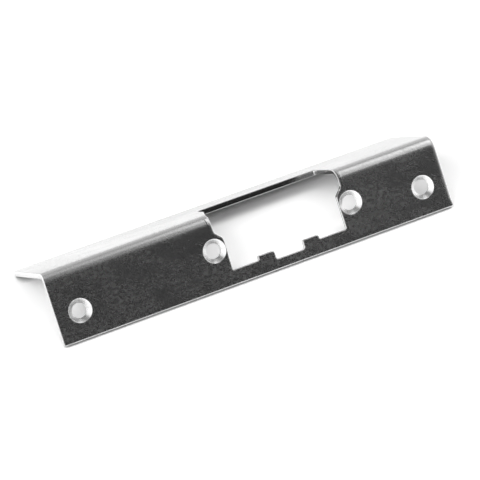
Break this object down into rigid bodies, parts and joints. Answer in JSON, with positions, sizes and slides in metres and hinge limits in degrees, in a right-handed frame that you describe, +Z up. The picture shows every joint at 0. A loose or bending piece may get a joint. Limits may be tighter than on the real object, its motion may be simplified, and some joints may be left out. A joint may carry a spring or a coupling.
{
  "type": "electric strike faceplate",
  "caption": "Angled faceplate for an electric door strike: one folded steel sheet with a latch opening cut through the fold and countersunk screw holes.",
  "frame": {"origin": "centre of the bounding box, on the surface that the plate's two long free edges rest on", "axes": "+X along the plate's length, +Y towards the rear flange, +Z up: the plate rests on its free edges with its fold on top"},
  "size_m": [0.142, 0.0444, 0.0208],
  "materials": {
    "plate": "satin rolled sheet"
  },
  "bodies": {
    "root": {"strike_plate": "plate"}
  },
  "joints": []
}
